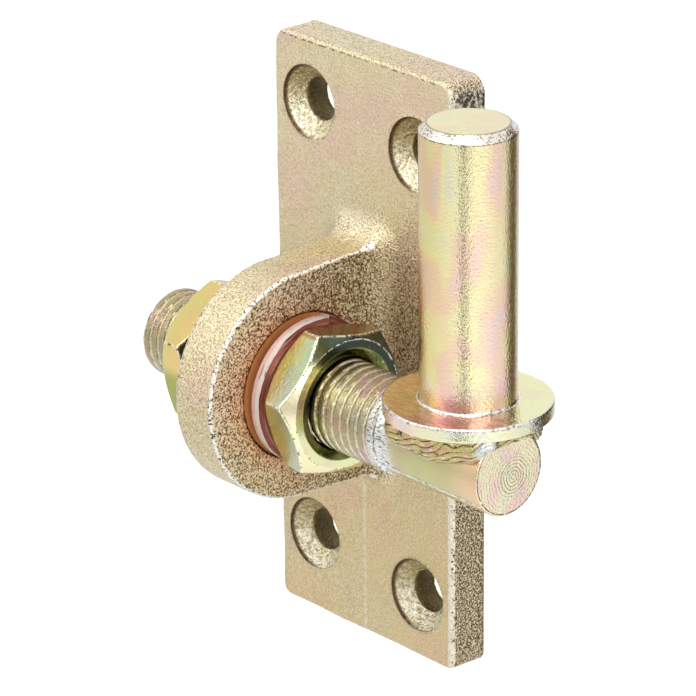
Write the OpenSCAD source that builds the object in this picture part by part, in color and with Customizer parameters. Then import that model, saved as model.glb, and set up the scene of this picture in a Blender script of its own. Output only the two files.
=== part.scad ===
// Adjustable gate pintle on a forged wall plate: a collared pin welded to a threaded stud,
// which is clamped through the eye of the plate by two thin nuts and spring washers.
// X runs along the stud towards the pin, Y goes into the wall and Z is up along the pin.
// The wall side of the plate is y = 0, with the origin at its centre. Millimetres.

/* [Plate] */
// Width of the plate across the post
plate_w = 57; // [45:0.5:80]
// Height of the plate
plate_h = 134; // [110:1:180]
// Thickness of the plate
plate_t = 9.5; // [6:0.5:14]
// Radius of the two upper corners
corner_top = 4; // [2:0.5:8]
// Radius of the two lower corners
corner_bottom = 2.5; // [2:0.5:8]
// Rounding of the front rim
rim_r = 1.2; // [0.5:0.1:2]

/* [Screw holes] */
// Diameter of the four screw holes
hole_d = 9; // [6:0.5:11]
// Diameter of their countersinks at the front face
countersink_d = 17; // [12:0.5:20]
// Distance of each column of holes from the middle of the plate
hole_x = 17; // [12:0.5:26]
// Mean height of the holes above and below the eye
hole_z = 50.5; // [38:0.5:75]
// How far the left column stands above that height and the right one below it
hole_stagger = 1.75; // [0:0.25:4]

/* [Eye] */
// Distance from the wall to the middle of the stud
stud_out = 31.5; // [28:0.5:45]
// Outer radius of the eye
eye_r = 25.5; // [20:0.5:32]
// Thickness of the eye along the stud
eye_t = 12; // [8:0.5:20]
// Diameter of the hole for the stud
eye_hole_d = 21; // [20.5:0.1:22]
// Forging draft by which the web widens towards the plate, in degrees
flare = 3; // [0:0.5:6]
// Rounding of the edges of the eye
eye_edge = 1.5; // [0.5:0.1:2.5]
// Radius of the fillet round the foot of the web
foot_r = 6; // [3:0.5:9]
// Diameter of the machined seat for the front spring washer
seat_d = 35; // [33:0.5:40]
// Depth of that seat
seat_depth = 0.5; // [0.2:0.1:1.5]

/* [Stud] */
// Outside diameter of the rolled thread
thread_d = 19.8; // [19.6:0.05:20]
// Diameter at the root of the thread
root_d = 17; // [16.8:0.1:17.4]
// Pitch of the thread
pitch = 2.5; // [1.5:0.25:3]
// Diameter of the plain shank under the collar
shank_d = 18.4; // [17:0.1:19.8]
// Length of the stud on the left of the eye's middle
stud_left = 38; // [30:0.5:60]
// Where the thread stops on the right of the eye's middle
thread_right = 39.5; // [34:0.5:50]
// Where the stud ends on the right of the eye's middle
stud_right = 69.5; // [64:0.5:90]

/* [Pin and collar] */
// Diameter of the pivot pin
pin_d = 20; // [16:0.5:24]
// Height of the pin's top above the middle of the stud
pin_top = 71.5; // [50:0.5:100]
// Radius between the pin and its collar
root_r = 0.5; // [0.2:0.1:1.5]
// Distance of the pin from the eye's middle
pin_x = 57.5; // [55:0.5:78]
// Chamfer at the top of the pin
pin_chamfer = 1.5; // [0.5:0.1:3]
// Diameter of the collar that carries the leaf
collar_d = 35; // [30:0.5:42]
// Thickness of the collar
collar_t = 3; // [2.5:0.5:6]
// Diameter of the foot below the collar, which stands on the flat
foot_d = 18; // [14:0.5:20]
// Height of that foot
foot_h = 1; // [0.5:0.1:2]
// Height of the flat on the stud under the collar
flat_z = 9; // [8.5:0.1:9.2]

/* [Nuts and washers] */
// Size of the nuts across their flats
nut_af = 30; // [28:0.5:34]
// Thickness of each thin nut
nut_m = 9; // [8:0.5:16]
// Bore of the nuts, which clears the thread by a tenth of a millimetre
nut_bore_d = 20; // [19.9:0.05:20.1]
// Diameter of the countersink in each nut's face
nut_sink_d = 25; // [21:0.5:26]
// Where the front nut bears on its washer
front_bearing = 11.3; // [10:0.1:20]
// Where the rear nut bears on its washer, left of the eye's middle
rear_bearing = 14.2; // [11:0.1:20]
// Outside diameter of the spring washers
washer_d = 32.6; // [31:0.1:34]
// Width of the spring washer's ring
washer_b = 6; // [5:0.1:6.5]
// Thickness of the spring washer's wire
washer_s = 4; // [3:0.1:5]
// Gap between the two ends of a spring washer, in degrees
washer_gap = 12; // [4:1:20]

/* [Hidden] */
$fn = 96;

// Zinc plate with a yellow passivation, a little different on each part
forged_zinc = [0.74, 0.66, 0.50];
turned_zinc = [0.80, 0.72, 0.54];
nut_zinc = [0.79, 0.78, 0.52];
spring_zinc = [0.72, 0.50, 0.46];
weld_zinc = [0.70, 0.66, 0.55];

// The flanks of the web leave the eye where they touch it and end in the foot block,
// which stands a hair proud of them, as the two halves of the die leave it
proud = 0.05;
foot_top = plate_t + foot_r;
flank_run = (stud_out - foot_top + eye_r * sin(flare)) / cos(flare) + 1;
foot_half = eye_r * cos(flare) + (flank_run - 1) * sin(flare) + proud;
foot_thick = eye_t / 2 + proud;

// Bead of weld that fills the corner between the collar and the shank: heavy where it starts,
// drawn out thinner towards the end of the stud and thinnest across it
bead_r = 4.6;
bead_y = 7.8;
bead_z = 5.5;
bead_left = 46.5;
bead_heavy_to = 58;
bead_right = 67;
thin_bead_r = 3.4;
thin_bead_y = 7.4;
thin_bead_z = 6.7;
end_bead_r = 1.8;
end_bead_z = 8.3;

thread_turns = floor((thread_right + stud_left - 2) / pitch);
nut_corner = 0.95 * nut_af / 2;
nut_e = nut_af / cos(30);

// Half section of a disc with its upper edge rounded, for the rim of the plate
module rim_section(r) {
    square([r - rim_r, plate_t]);
    square([r, plate_t - rim_r]);
    translate([r - rim_r, plate_t - rim_r]) circle(rim_r);
}

// One side of the rim: the same section drawn out straight between two corners
module rim_side(length, r) {
    rotate([90, 0, 0]) translate([0, 0, -length / 2]) linear_extrude(height = length) rim_section(r);
}

// The plate lies on its back here: X as in use, Y for up, and Z out from the wall
module plate_blank() {
    r1 = corner_top;
    r2 = corner_bottom;
    x1 = plate_w / 2 - r1;
    x2 = plate_w / 2 - r2;
    y1 = plate_h / 2 - r1;
    y2 = plate_h / 2 - r2;
    for (s = [0, 1]) mirror([s, 0, 0]) {
        translate([x1, y1, 0]) rotate_extrude(angle = 90) rim_section(r1);
        translate([x2, -y2, 0]) rotate([0, 0, -90]) rotate_extrude(angle = 90) rim_section(r2);
        translate([x1, (y1 - y2) / 2, 0]) rim_side(y1 + y2, r1);
    }
    translate([0, y1, 0]) rotate([0, 0, 90]) rim_side(2 * x1, r1);
    translate([0, -y2, 0]) rotate([0, 0, -90]) rim_side(2 * x2, r2);
    translate([-x1, -y2, 0]) cube([2 * x1, y1 + y2, plate_t]);
}

// Section across the web: flat faces and rounded outer edges
module web_section() {
    h = eye_t / 2;
    core = 3;
    translate([-h, -core]) square([eye_t, eye_r - eye_edge + core]);
    translate([-h + eye_edge, -core]) square([eye_t - 2 * eye_edge, eye_r + core]);
    for (s = [-1, 1]) translate([s * (h - eye_edge), eye_r - eye_edge]) circle(eye_edge);
}

// The round eye, turned about the stud's axis from one flank to the other
module eye_sector() {
    rotate([0, 90, 0]) rotate([0, 0, 90 + flare]) rotate_extrude(angle = 180 - 2 * flare) {
        translate([0, -eye_t / 2 + eye_edge]) square([eye_r, eye_t - 2 * eye_edge]);
        translate([0, -eye_t / 2]) square([eye_r - eye_edge, eye_t]);
        for (s = [-1, 1]) translate([eye_r - eye_edge, s * (eye_t / 2 - eye_edge)]) circle(eye_edge);
    }
}

// Flank of the web, tangent to the eye and opening towards the plate by the draft
module flank() {
    rotate([flare, 0, 0]) rotate([0, 180, 0]) linear_extrude(height = flank_run) web_section();
}

// Section of the foot on one side of a centre line: half the web and its fillet
module foot_section(half) {
    difference() {
        translate([0, 1]) square([half + foot_r, foot_top - 1]);
        translate([half + foot_r, foot_top]) circle(foot_r);
    }
}

// Foot of the web with the fillet that runs right round it onto the plate
module web_foot() {
    cx = foot_thick - eye_edge;
    cy = foot_half - eye_edge;
    for (s = [0, 1]) mirror([s, 0, 0]) {
        translate([0, cy, 0]) rotate([90, 0, 0]) linear_extrude(height = 2 * cy) foot_section(foot_thick);
        for (t = [0, 1]) mirror([0, t, 0])
            translate([cx, cy, 0]) rotate_extrude(angle = 90) foot_section(eye_edge);
    }
    for (s = [0, 1]) mirror([0, s, 0])
        translate([-cx, 0, 0]) rotate([90, 0, 90]) linear_extrude(height = 2 * cx) foot_section(foot_half);
}

// One screw hole through the plate with its countersink at the front
module screw_hole() {
    depth = (countersink_d - hole_d) / 2;
    translate([0, 0, -1]) cylinder(h = plate_t + 2, d = hole_d);
    translate([0, 0, plate_t - depth]) cylinder(h = depth, d1 = hole_d, d2 = countersink_d);
    translate([0, 0, plate_t - 0.001]) cylinder(h = 1, d = countersink_d);
}

// Plate and eye, forged in one and drilled, spot-faced and countersunk afterwards
module bracket() {
    color(forged_zinc) rotate([90, 0, 0]) difference() {
        union() {
            plate_blank();
            web_foot();
            translate([0, 0, stud_out]) {
                eye_sector();
                flank();
                mirror([0, 1, 0]) flank();
            }
        }
        translate([-eye_t, 0, stud_out]) rotate([0, 90, 0]) cylinder(h = 2 * eye_t, d = eye_hole_d);
        translate([eye_t / 2 - seat_depth, 0, stud_out]) rotate([0, 90, 0])
            cylinder(h = seat_depth + 1, d = seat_d);
        for (s = [-1, 1]) for (t = [-1, 1])
            translate([s * hole_x, t * hole_z - s * hole_stagger, 0]) screw_hole();
    }
}

// Outline of the stud as (radius, length) pairs: rounded start, thread rings, run-out, shank
function ring(x) = [
    [root_d / 2, x + pitch / 8],
    [thread_d / 2, x + pitch * 7 / 16],
    [thread_d / 2, x + pitch * 9 / 16],
    [root_d / 2, x + pitch * 7 / 8]
];
stud_profile = concat(
    [[0, -stud_left], [root_d / 2 - 0.6, -stud_left], [root_d / 2, -stud_left + 0.6]],
    [for (i = [0 : thread_turns - 1]) each ring(-stud_left + 0.6 + i * pitch)],
    [[root_d / 2, thread_right], [shank_d / 2, thread_right + 1.2]],
    [[shank_d / 2, stud_right - 0.4], [shank_d / 2 - 0.4, stud_right], [0, stud_right]]
);

module stud_axis() {
    translate([0, -stud_out, 0]) rotate([0, 90, 0]) children();
}

// Stud with its thread drawn as rings of the true pitch, and a flat for the collar
module threaded_stud() {
    color(turned_zinc) difference() {
        stud_axis() rotate_extrude() polygon(stud_profile);
        translate([thread_right + 1.2, -stud_out - shank_d / 2, flat_z])
            cube([stud_right, shank_d, shank_d]);
    }
}

// Pivot pin and its collar, turned in one piece: chamfered top, a small radius at the root
// of the pin, softened rims on the collar, and a low foot that stands on the flat of the stud
module pivot_pin() {
    r = pin_d / 2;
    c = collar_d / 2;
    e = 0.4;
    under = flat_z + foot_h;
    top = under + collar_t;
    color(turned_zinc) translate([pin_x, -stud_out, 0]) rotate_extrude() {
        polygon([
            [0, flat_z], [foot_d / 2, flat_z], [foot_d / 2, under], [c - e, under], [c, under + e],
            [c, top - e], [c - e, top], [r, top],
            [r, pin_top - pin_chamfer], [r - pin_chamfer, pin_top], [0, pin_top]
        ]);
        difference() {
            translate([r - 1, top - 1]) square(root_r + 1);
            translate([r + root_r, top + root_r]) circle(root_r);
        }
    }
}

// Fillet weld along both sides of the shank and, thinner, round its end below the collar
module weld_bead() {
    color(weld_zinc) difference() {
        translate([0, -stud_out, 0]) {
            for (s = [-1, 1]) {
                translate([bead_left, s * bead_y, bead_z]) sphere(bead_r);
                translate([bead_left, s * bead_y, bead_z]) rotate([0, 90, 0])
                    cylinder(h = bead_heavy_to - bead_left, r = bead_r);
                translate([bead_heavy_to, s * bead_y, bead_z]) sphere(bead_r);
                translate([bead_heavy_to, s * thin_bead_y, thin_bead_z]) rotate([0, 90, 0])
                    cylinder(h = bead_right - bead_heavy_to, r1 = bead_r - 0.6, r2 = thin_bead_r);
                translate([bead_right, s * thin_bead_y, thin_bead_z]) sphere(thin_bead_r);
            }
            translate([stud_right, thin_bead_y, end_bead_z]) rotate([90, 0, 0])
                cylinder(h = 2 * thin_bead_y, r = end_bead_r);
        }
        translate([0, -stud_out, 0]) rotate([0, 90, 0]) cylinder(h = stud_right, d = shank_d);
        translate([0, -stud_out - 20, flat_z + foot_h]) cube([100, 40, 20]);
        translate([pin_x, -stud_out, flat_z]) cylinder(h = foot_h, d = foot_d);
    }
}

// Thin hexagon nut, chamfered on both faces and countersunk at both ends of its bore
module thin_nut() {
    c = (nut_e / 2 - nut_corner) * tan(30);
    sink = (nut_sink_d - nut_bore_d) / 2 * tan(30);
    difference() {
        intersection() {
            cylinder(h = nut_m, d = nut_e, $fn = 6);
            rotate_extrude() polygon([
                [0, 0], [nut_corner, 0], [nut_e / 2 + 0.2, c + 0.115], [nut_e / 2 + 0.2, nut_m - c - 0.115],
                [nut_corner, nut_m], [0, nut_m]
            ]);
        }
        translate([0, 0, -1]) cylinder(h = nut_m + 2, d = nut_bore_d);
        translate([0, 0, -0.001]) cylinder(h = sink, d1 = nut_sink_d, d2 = nut_bore_d);
        translate([0, 0, nut_m - sink + 0.001]) cylinder(h = sink, d1 = nut_bore_d, d2 = nut_sink_d);
    }
}

module front_nut() {
    color(nut_zinc) translate([front_bearing, 0, 0]) stud_axis() rotate([0, 0, 16]) thin_nut();
}

module rear_nut() {
    color(nut_zinc) translate([-rear_bearing - nut_m, 0, 0]) stud_axis() rotate([0, 0, 9]) thin_nut();
}

// Split spring washer: a square-cut bar coiled through nearly a full turn of a left-hand
// helix, so that its ends bite when the nut slackens; it stands from z = 0 to the height
module spring_washer(height) {
    steps = 72;
    sweep = 360 - washer_gap;
    lift = height - washer_s;
    r1 = washer_d / 2;
    r0 = r1 - washer_b;
    points = [for (i = [0 : steps])
        let (a = sweep * i / steps, z = lift * i / steps, c = cos(a), s = sin(a))
        each [[r0 * c, r0 * s, z], [r1 * c, r1 * s, z],
              [r1 * c, r1 * s, z + washer_s], [r0 * c, r0 * s, z + washer_s]]];
    sides = [for (i = [0 : steps - 1]) for (j = [0 : 3])
        let (k = (j + 1) % 4)
        each [[4 * i + j, 4 * i + k + 4, 4 * i + k], [4 * i + j, 4 * i + j + 4, 4 * i + k + 4]]];
    n = 4 * steps;
    ends = [[0, 1, 2], [0, 2, 3], [n, n + 2, n + 1], [n, n + 3, n + 2]];
    mirror([0, 1, 0]) polyhedron(points = points, faces = concat(sides, ends), convexity = 4);
}

module front_spring_washer() {
    color(spring_zinc) translate([eye_t / 2 - seat_depth, 0, 0]) stud_axis() rotate([0, 0, 160])
        spring_washer(front_bearing - eye_t / 2 + seat_depth);
}

module rear_spring_washer() {
    color(spring_zinc) translate([-rear_bearing, 0, 0]) stud_axis() rotate([0, 0, 60])
        spring_washer(rear_bearing - eye_t / 2);
}

bracket();
threaded_stud();
pivot_pin();
weld_bead();
front_nut();
rear_nut();
front_spring_washer();
rear_spring_washer();
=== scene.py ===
import bpy
import numpy as np
from mathutils import Matrix, Vector


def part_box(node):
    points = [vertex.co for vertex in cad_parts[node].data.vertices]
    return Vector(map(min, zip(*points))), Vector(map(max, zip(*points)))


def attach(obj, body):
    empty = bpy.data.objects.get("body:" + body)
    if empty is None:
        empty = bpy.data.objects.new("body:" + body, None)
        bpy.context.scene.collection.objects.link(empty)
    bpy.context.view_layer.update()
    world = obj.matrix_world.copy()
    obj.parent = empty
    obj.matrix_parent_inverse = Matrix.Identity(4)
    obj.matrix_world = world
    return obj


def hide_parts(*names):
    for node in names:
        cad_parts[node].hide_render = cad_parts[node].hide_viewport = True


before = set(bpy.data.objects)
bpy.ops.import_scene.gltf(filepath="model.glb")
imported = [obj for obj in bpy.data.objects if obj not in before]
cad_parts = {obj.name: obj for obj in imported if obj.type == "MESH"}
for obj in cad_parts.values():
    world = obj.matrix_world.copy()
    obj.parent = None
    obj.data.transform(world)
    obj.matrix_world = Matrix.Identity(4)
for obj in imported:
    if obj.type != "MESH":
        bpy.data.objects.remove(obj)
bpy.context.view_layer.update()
MM = 0.001

# ----------------------------------------
# Studio: a camera looking down on the pin from its front right, a pale floor, three soft boxes
# and two dark cards that give the bright metal something to reflect.
# ----------------------------------------


class ShaderTree:
    """Node tree with a word for each step; a value is a number, a colour of three numbers, or a link."""

    def __init__(self, tree):
        self.tree = tree

    def node(self, kind, values=None, **options):
        """One node: options are its own settings, and values fill its sockets by name or number."""
        made = self.tree.nodes.new("ShaderNode" + kind)
        for key, option in options.items():
            setattr(made, key, option)
        for key, value in (values or {}).items():
            socket = made.inputs[key]
            if isinstance(value, bpy.types.Node):
                value = value.outputs[0]
            if isinstance(value, bpy.types.NodeSocket):
                self.tree.links.new(value, socket)
            else:
                socket.default_value = (*value, 1) if socket.type == "RGBA" else value
        return made

    def math(self, operation, a, b=0.0, c=0.0, clamp=False):
        """Math on one, two or three values."""
        return self.node("Math", {0: a, 1: b, 2: c}, operation=operation, use_clamp=clamp).outputs[0]

    def seen_directly(self):
        """1 for rays from the camera, from shiny metal or through glass, 0 for rays that light a surface."""
        path = self.node("LightPath").outputs
        sharp = self.math("ADD", path["Is Camera Ray"], path["Is Glossy Ray"])
        return self.math("ADD", sharp, path["Is Transmission Ray"], clamp=True)


camera_turn, camera_tilt, camera_roll = np.radians([49.15, 21.74, -0.62])
camera_distance = 909.0
aim_right, aim_up = -10.38, -1.57
film_width = 36.0
focal_widths = 6.0214

toward_camera = np.array([
    np.sin(camera_turn) * np.cos(camera_tilt),
    -np.cos(camera_turn) * np.cos(camera_tilt),
    np.sin(camera_tilt),
])
level_right = np.array([np.cos(camera_turn), np.sin(camera_turn), 0.0])
level_up = np.cross(toward_camera, level_right)
rolled_right = np.cos(camera_roll) * level_right + np.sin(camera_roll) * level_up
rolled_up = np.cos(camera_roll) * level_up - np.sin(camera_roll) * level_right
camera_place = toward_camera * camera_distance + aim_right * level_right + aim_up * level_up

camera_data = bpy.data.cameras.new("camera")
camera_data.sensor_width = film_width
camera_data.lens = film_width * focal_widths
camera_data.clip_start, camera_data.clip_end = 0.05, 20.0
camera = bpy.data.objects.new("camera", camera_data)
camera.matrix_world = Matrix([
    [rolled_right[i], rolled_up[i], toward_camera[i], camera_place[i] * MM] for i in range(3)
] + [[0, 0, 0, 1]])
bpy.context.scene.collection.objects.link(camera)
bpy.context.scene.camera = camera
bpy.context.scene.view_settings.view_transform = "Standard"

world = bpy.data.worlds.new("studio")
world.use_nodes = True
bpy.context.scene.world = world
sky = ShaderTree(world.node_tree)
sky.tree.nodes.clear()
room_light = sky.node("Background", {"Color": (0.92, 0.95, 1.0), "Strength": 0.40})
white_wall = sky.node("Background", {"Color": (1, 1, 1), "Strength": 1.0})
wall_or_room = sky.node("MixShader", {0: sky.seen_directly(), 1: room_light, 2: white_wall})
sky.node("OutputWorld", {"Surface": wall_or_room})


def flat_card(name, centre, across, upward):
    """Rectangle from its centre and its two half sides, in metres."""
    centre, across, upward = map(np.array, (centre, across, upward))
    corners = [centre + i * across + j * upward for i, j in ((-1, -1), (1, -1), (1, 1), (-1, 1))]
    mesh = bpy.data.meshes.new(name)
    mesh.from_pydata([tuple(corner) for corner in corners], [], [(0, 1, 2, 3)])
    card = bpy.data.objects.new(name, mesh)
    bpy.context.scene.collection.objects.link(card)
    return card


floor_height, floor_half = -0.30, 3
floor = flat_card("floor", (0, 0, floor_height), (floor_half, 0, 0), (0, floor_half, 0))
floor_paint = bpy.data.materials.new("floor_paint")
floor_paint.use_nodes = True
paint = ShaderTree(floor_paint.node_tree)
paint.tree.nodes.clear()
lit = paint.node("BsdfDiffuse", {"Color": (0.85, 0.85, 0.85)})
to_camera = paint.node("LightPath").outputs["Is Camera Ray"]
glow_strength = paint.math("MULTIPLY_ADD", to_camera, 0.35, 0.35)
glow = paint.node("Emission", {"Color": (1, 1, 1), "Strength": glow_strength})
clear = paint.node("BsdfTransparent", {"Color": (0, 0, 0)})
shown_glow = paint.node("MixShader", {0: paint.seen_directly(), 1: clear, 2: glow})
paint.node("OutputMaterial", {"Surface": paint.node("AddShader", {0: lit, 1: shown_glow})})
floor.data.materials.append(floor_paint)


def standing_card(name, azimuths, elevations, distance, shade):
    """Upright card that fills a range of directions seen from the pin, where azimuth 0 is the plate's front
    and 90 the pin's side."""
    middle = np.radians(sum(azimuths) / 2)
    half = distance * np.tan(np.radians(azimuths[1] - azimuths[0]) / 2)
    low, high = distance * np.tan(np.radians(elevations))
    pin_x, pin_y, _ = np.mean(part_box("pivot_pin"), axis=0)
    centre = (pin_x + distance * np.sin(middle), pin_y - distance * np.cos(middle), (low + high) / 2)
    across = (half * np.cos(middle), half * np.sin(middle), 0)
    card = flat_card(name, centre, across, (0, 0, (high - low) / 2))
    felt = bpy.data.materials.new(name + "_felt")
    felt.use_nodes = True
    cloth = felt.node_tree.nodes["Principled BSDF"].inputs
    cloth["Base Color"].default_value = (*shade, 1)
    cloth["Roughness"].default_value = 0.9
    card.data.materials.append(felt)
    card.visible_camera = card.visible_shadow = card.visible_diffuse = False


standing_card("rear_card", (148, 190), (-60, 38), 0.32, (0.14, 0.11, 0.06))
standing_card("front_card", (33, 41), (-50, 20), 0.45, (0.02, 0.02, 0.02))

for lamp_name, lamp_place, aim, size, watts in (
    ("left_softbox", (-0.40, -0.85, 0.85), (0, -0.02, 0), 0.7, 4.0),
    ("right_softbox", (0.80, -0.25, 0.25), (0.55, -0.20, -0.30), 0.5, 2.2),
    ("top_softbox", (0.30, -0.28, 0.95), (0, -0.02, 0), 0.5, 4.0),
):
    lamp = bpy.data.lights.new(lamp_name, "AREA")
    lamp.energy, lamp.size = watts, size
    softbox = bpy.data.objects.new(lamp_name, lamp)
    softbox.location = lamp_place
    softbox.rotation_euler = (Vector(aim) - Vector(lamp_place)).to_track_quat("-Z", "Y").to_euler()
    bpy.context.scene.collection.objects.link(softbox)

# ----------------------------------------
# Bracket: plate and eye in one drop forging of mild steel, shot-blasted, drilled, countersunk
# and spot-faced, then zinc plated with a yellow passivation that tints it pink and green.
# ----------------------------------------
plate_low, plate_high = (np.array(end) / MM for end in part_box("bracket"))
plate_half_w = (plate_high[0] - plate_low[0]) / 2
plate_half_h = (plate_high[2] - plate_low[2]) / 2
plate_t, plate_edge_r, plate_back_r = 9.5, 1.2, 0.4
upper_corner_r, lower_corner_r = 4.0, 2.5
stud_low, stud_high = (np.array(end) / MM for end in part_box("threaded_stud"))
axis_y = (stud_low[1] + stud_high[1]) / 2
eye_r, eye_half, eye_hole_r, web_edge_r = axis_y - plate_low[1], 6.0, 10.5, 0.9
draft = np.radians(3.0)
foot_r = 6.0
seat_r, seat_x = 16.1, 5.5
hole_r, sink_r = 4.5, 8.5
hole_x, hole_z, hole_stagger = 17.0, 50.5, 1.75
screw_holes = [(side * hole_x, level * hole_z - side * hole_stagger) for side in (-1, 1) for level in (-1, 1)]


def round_union(a, b, r):
    """Nearer of two fields, with a fillet of radius r in the corner between them."""
    return np.maximum(r, np.minimum(a, b)) - np.hypot(np.maximum(r - a, 0), np.maximum(r - b, 0))


def round_cut(a, b, r):
    """Further of two fields, with the edge between them rounded to radius r."""
    return np.minimum(-r, np.maximum(a, b)) + np.hypot(np.maximum(r + a, 0), np.maximum(r + b, 0))


def web_outline(y, z):
    """Distance in mm outside the web seen along the stud: round at the eye, then flaring by the draft."""
    run = (y - axis_y) * np.cos(draft) + np.abs(z) * np.sin(draft)
    flank = np.abs(z) * np.cos(draft) - (y - axis_y) * np.sin(draft)
    return np.where(run > 0, flank, np.hypot(y - axis_y, z)) - eye_r


def forging(x, y, z):
    """Distance in mm to the bracket's skin, negative inside: the rounded plate, joined to the web by a
    fillet, less the eye's hole, the seat and the countersunk screw holes."""
    corner_r = np.where(z > 0, upper_corner_r, lower_corner_r)
    over_x = np.abs(x) - plate_half_w + corner_r
    over_z = np.abs(z) - plate_half_h + corner_r
    past_corner = np.hypot(np.maximum(over_x, 0), np.maximum(over_z, 0))
    outline = past_corner + np.minimum(np.maximum(over_x, over_z), 0) - corner_r
    plate = round_cut(round_cut(outline, -y - plate_t, plate_edge_r), y, plate_back_r)
    web = np.maximum(round_cut(web_outline(y, z), np.abs(x) - eye_half, web_edge_r), y + foot_r + 0.5)
    from_axis = np.hypot(y - axis_y, z)
    body = round_cut(round_union(plate, web, foot_r), eye_hole_r - from_axis, 0.35)
    body = np.maximum(body, np.minimum(seat_r - from_axis, x - seat_x))
    for at_x, at_z in screw_holes:
        reach = np.hypot(x - at_x, z - at_z)
        cone = (sink_r - np.maximum(y + plate_t, 0) - reach) / np.sqrt(2)
        body = round_cut(body, np.maximum(hole_r - reach, cone), 0.25)
    return body


def lumps(p, size, seed):
    """Smooth random field from -1 to 1 with lumps of about that size: random values on a lattice, eased
    between its corners."""
    lattice = np.random.default_rng(seed).uniform(-1, 1, (32, 32, 32))
    cell = np.floor(p / size).astype(int)
    part = p / size - cell
    part = part * part * (3 - 2 * part)
    total = np.zeros(len(p))
    for corner in np.ndindex(2, 2, 2):
        share = np.prod(np.where(corner, part, 1 - part), axis=1)
        i, j, k = ((cell + corner) % 32).T
        total += share * lattice[i, j, k]
    return total


def net_over(field, xs, ys, zs):
    """Surface net: a vertex in each cell that the skin crosses, at the mean of the crossings on the cell's
    edges, and a quad across each lattice edge that the skin cuts."""
    lattice = (xs, ys, zs)
    value = field(xs[:, None, None], ys[None, :, None], zs[None, None, :])
    inside = value < 0
    count = sum(
        inside[a:len(xs) - 1 + a, b:len(ys) - 1 + b, c:len(zs) - 1 + c].astype(np.int8)
        for a, b, c in np.ndindex(2, 2, 2)
    )
    crossed = (count > 0) & (count < 8)
    cells = np.argwhere(crossed)
    number = np.full(crossed.shape, -1, int)
    number[crossed] = np.arange(len(cells))
    unit = np.eye(3, dtype=int)
    total, hits = np.zeros((len(cells), 3)), np.zeros(len(cells))
    for axis in range(3):
        for offset in np.ndindex(2, 2, 2):
            if offset[axis]:
                continue
            near = cells + offset
            far = near + unit[axis]
            v0, v1 = value[tuple(near.T)], value[tuple(far.T)]
            cut = (v0 < 0) != (v1 < 0)
            share = np.where(cut, v0 / np.where(cut, v0 - v1, 1), 0)[:, None]
            p0 = np.stack([lattice[k][near[:, k]] for k in range(3)], 1)
            p1 = np.stack([lattice[k][far[:, k]] for k in range(3)], 1)
            total += np.where(cut[:, None], p0 + (p1 - p0) * share, 0)
            hits += cut
    quads = []
    for axis in range(3):
        lower = tuple(slice(0, -1) if k == axis else slice(None) for k in range(3))
        upper = tuple(slice(1, None) if k == axis else slice(None) for k in range(3))
        edges = np.argwhere(inside[lower] != inside[upper])
        back_b, back_c = unit[(axis + 1) % 3], unit[(axis + 2) % 3]
        ring = [edges - back_b - back_c, edges - back_c, edges, edges - back_b]
        quad = np.stack([number[tuple(cell.T)] for cell in ring], 1)
        outward = inside[lower][tuple(edges.T)]
        quads.append(np.where(outward[:, None], quad, quad[:, ::-1]))
    return total / hits[:, None], np.concatenate(quads)


def slope(field, p, step=0.05):
    """Direction and steepness of a field at points, from differences across a small step."""
    shifts = np.eye(3) * step
    return np.stack([(field(*(p + shift).T) - field(*(p - shift).T)) / (2 * step) for shift in shifts], 1)


def spaced(low, high, step):
    """Evenly spaced lattice lines from low to high, about a step apart."""
    return np.linspace(low, high, int(round((high - low) / step)) + 1)


def blasted_forging(x, y, z):
    """The forging with the unevenness that scale and blasting leave, and the die's faint seam down the
    plate; only ever inwards, and almost none on the seat, the back and in the holes."""
    p = np.stack([x, y, z], 1)
    rough = 0.09 * (lumps(p, 9.0, 1) + 1) + 0.045 * (lumps(p, 2.6, 2) + 1) + 0.03 * (lumps(p, 1.3, 3) + 1)
    from_axis = np.hypot(y - axis_y, z)
    machined = (from_axis < seat_r + 0.3) & (x > seat_x - 1) | (y > -0.6) | (from_axis < eye_hole_r + 0.5)
    for at_x, at_z in screw_holes:
        machined |= np.hypot(x - at_x, z - at_z) < sink_r + 0.2
    die_seam = 0.10 / (1 + np.exp(-(x + 0.2) * 5)) * (y < -plate_t + 1.5) * (np.abs(z) > 26)
    return forging(x, y, z) + np.where(machined, 0.12, 1.0) * (rough + die_seam)


def arris(a, b, width):
    """How close points lie to the edge where two faces meet, from 0 to 1, by their distances to both."""
    return np.exp(-(a / width) ** 2 - (b / width) ** 2)


def surface(name, points, faces, body, node, attributes, sharp=None):
    """Smooth mesh piece from points in mm and faces, with values stored on its points; it rides on a body and
    replaces a CAD node."""
    mesh = bpy.data.meshes.new(name)
    mesh.from_pydata((np.asarray(points) * MM).tolist(), [], faces)
    mesh.shade_smooth()
    if sharp is not None:
        mesh.set_sharp_from_angle(angle=np.radians(sharp))
    for key, values in attributes.items():
        layer = mesh.attributes.new(key, "FLOAT", "POINT")
        layer.data.foreach_set("value", np.asarray(values, np.float32))
    piece = bpy.data.objects.new(name, mesh)
    bpy.context.scene.collection.objects.link(piece)
    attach(piece, body)
    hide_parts(node)
    return piece


net_step, net_margin = 0.56, 0.6
fine_half = 7
net_half_w = plate_half_w + net_margin
lattice_x = np.concatenate([
    spaced(-net_half_w, -fine_half, net_step)[:-1], spaced(-fine_half, fine_half, 0.45)[:-1],
    spaced(fine_half, net_half_w, net_step)])
lattice_y = np.concatenate([
    spaced(plate_low[1] - net_margin, -12, net_step)[:-1], spaced(-12, net_margin, 0.5)])
lattice_z = spaced(-plate_half_h - net_margin, plate_half_h + net_margin, net_step)
skin, skin_quads = net_over(forging, lattice_x, lattice_y, lattice_z)
for _ in range(4):
    steep = slope(blasted_forging, skin)
    step = blasted_forging(*skin.T) / np.maximum(np.sum(steep * steep, 1), 0.2)
    skin -= np.clip(step, -0.25, 0.25)[:, None] * steep

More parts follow.
